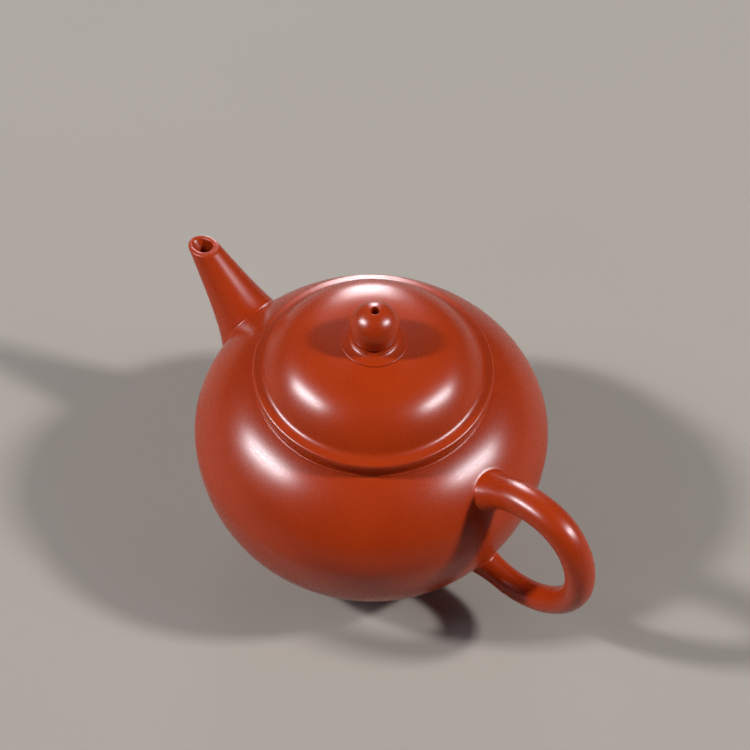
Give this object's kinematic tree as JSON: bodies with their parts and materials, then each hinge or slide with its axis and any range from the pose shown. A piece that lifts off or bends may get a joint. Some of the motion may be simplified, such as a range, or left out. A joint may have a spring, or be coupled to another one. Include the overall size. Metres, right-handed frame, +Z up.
{
  "type": "yixing clay teapot",
  "caption": "Small round teapot of unglazed burnished red stoneware, with a straight spout, an ear-shaped handle and a lift-off pressed lid with a round vented knob.",
  "frame": {"origin": "centre of the foot's underside, on the pot's axis", "axes": "+Z up along the pot's axis, +X towards the handle, -X towards the spout, and +Y completes a right-handed frame"},
  "size_m": [0.1269, 0.0834, 0.0759],
  "materials": {
    "burnished_clay": "satin"
  },
  "bodies": {
    "pot": {"foot_ring": "burnished_clay", "bottom_sheet": "burnished_clay", "belly_wall": "burnished_clay", "shoulder_sheet": "burnished_clay", "mouth_ring": "burnished_clay", "spout": "burnished_clay", "spout_strainer": "burnished_clay", "handle": "burnished_clay"},
    "lid": {"lid_flange": "burnished_clay", "lid_rim": "burnished_clay", "lid_dome": "burnished_clay", "knob_seat": "burnished_clay", "knob": "burnished_clay"}
  },
  "joints": [
    {"name": "lid_lift", "type": "slide", "parent": "pot", "child": "lid", "axis": [0, 0, 1], "range_m": [0, 0.045]}
  ]
}
